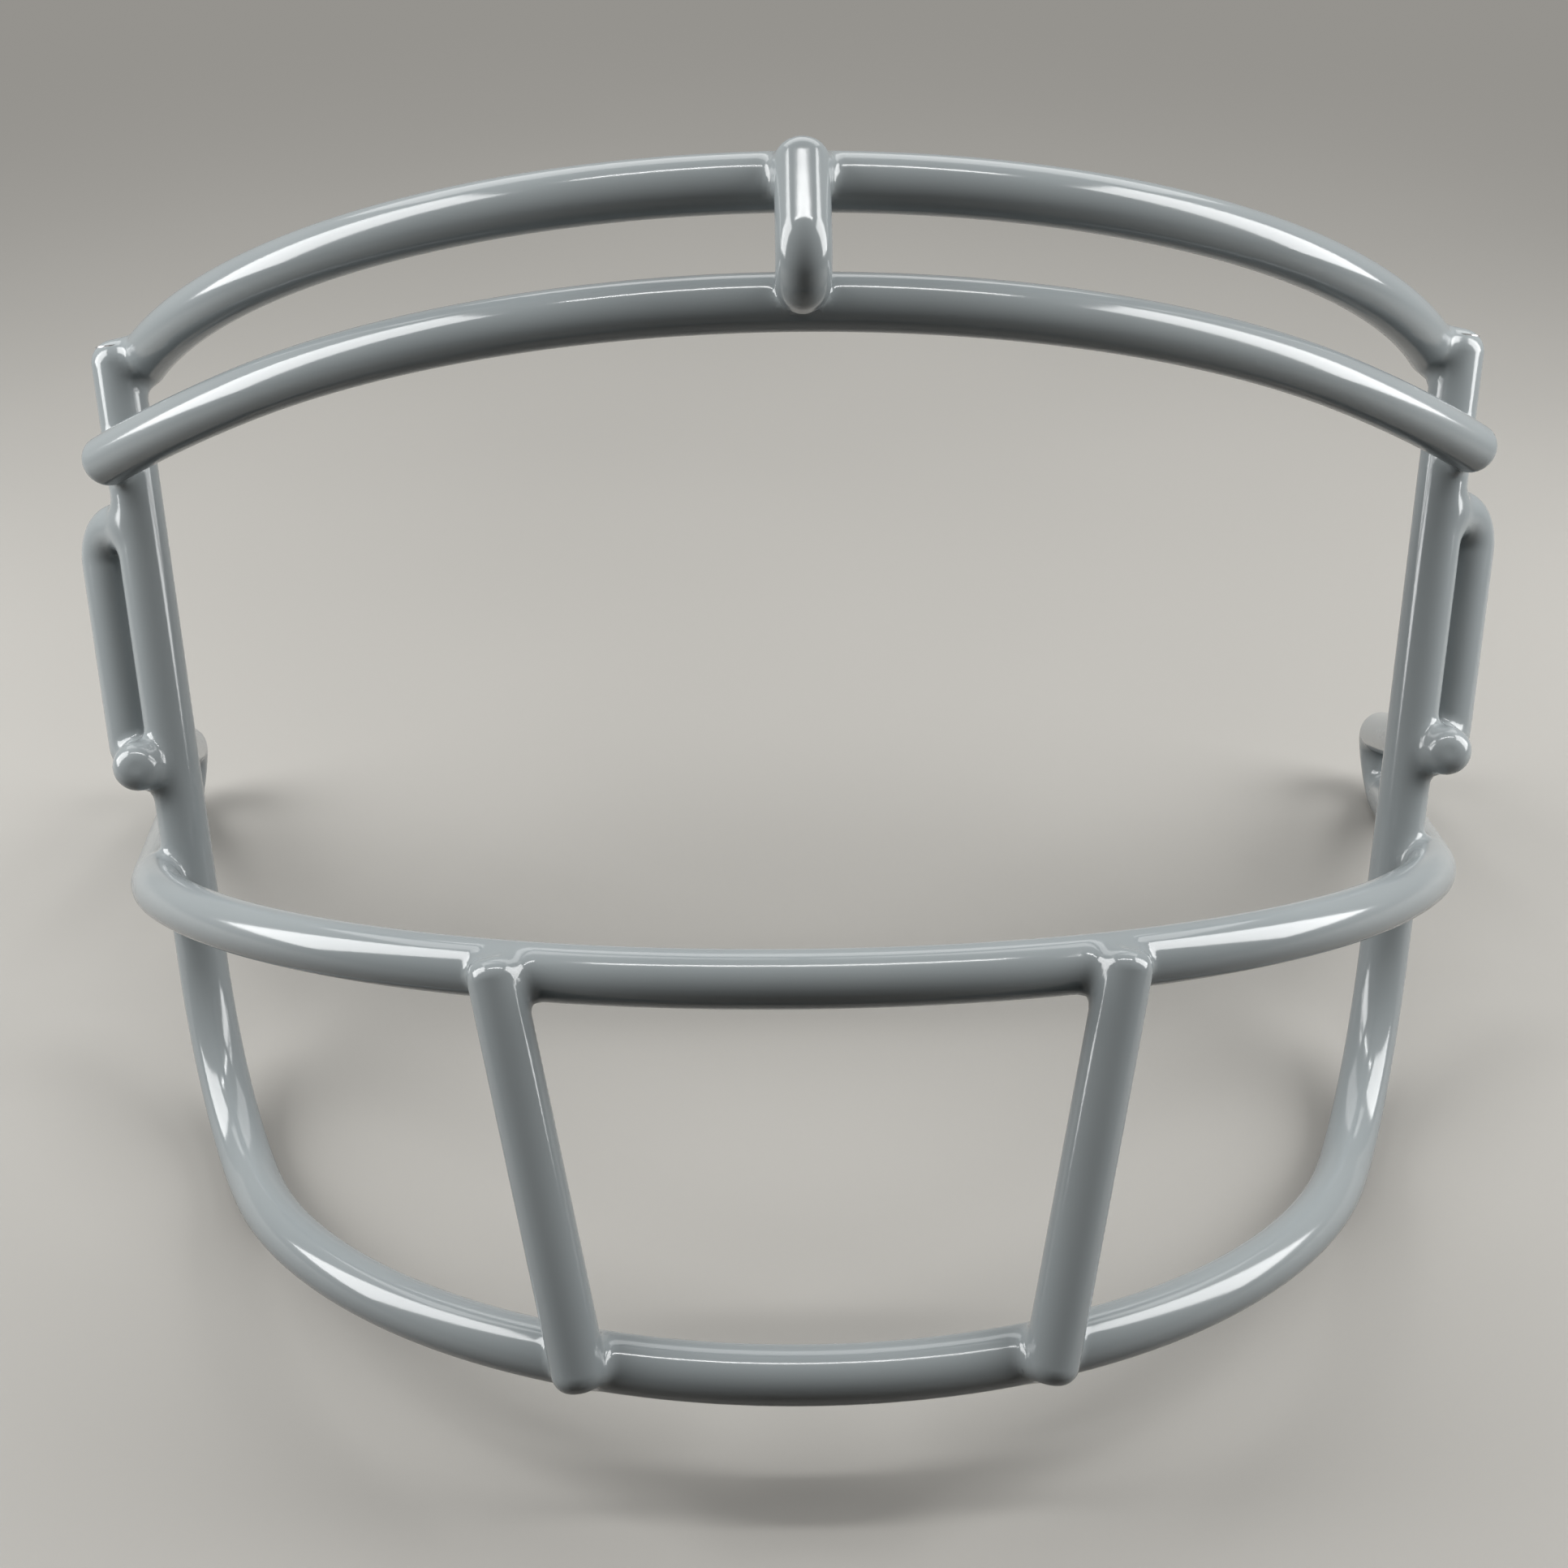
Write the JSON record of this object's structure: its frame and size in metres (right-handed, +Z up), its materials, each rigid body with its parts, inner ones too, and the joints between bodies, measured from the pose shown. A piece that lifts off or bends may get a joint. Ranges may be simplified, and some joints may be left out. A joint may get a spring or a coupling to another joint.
{
  "type": "football helmet facemask",
  "caption": "American football facemask of bent steel wire in a glossy coat: eye opening between brow and mouth bars, bowed chin bar with struts, brow post and side loops for clips.",
  "frame": {"origin": "Centre of the footprint on the floor, at the lowest point of the mask in its resting pose, leant back on its two jaw bends and two side loops.", "axes": "+X to the right of a viewer who faces the mask, across its width; +Y back, from the mouth bar towards the wearer's side; +Z up. As worn, the mask is turned 36.3 degrees about X, so that its brow comes forward."},
  "size_m": [0.233, 0.1614, 0.1512],
  "materials": {
    "steel_wire": "drawn steel wire, bare under the coat and never seen",
    "coat": "smooth glossy dip coat in a cool mid grey"
  },
  "bodies": {
    "root": {"side_frame_core": "steel_wire", "side_frame_coat": "coat", "mouth_bar_core": "steel_wire", "mouth_bar_coat": "coat", "lower_brow_bar_core": "steel_wire", "lower_brow_bar_coat": "coat", "upper_brow_bar_core": "steel_wire", "upper_brow_bar_coat": "coat", "brow_post_core": "steel_wire", "brow_post_coat": "coat", "left_chin_strut_core": "steel_wire", "left_chin_strut_coat": "coat", "right_chin_strut_core": "steel_wire", "right_chin_strut_coat": "coat", "left_side_guard_core": "steel_wire", "left_side_guard_coat": "coat", "right_side_guard_core": "steel_wire", "right_side_guard_coat": "coat"}
  },
  "joints": []
}
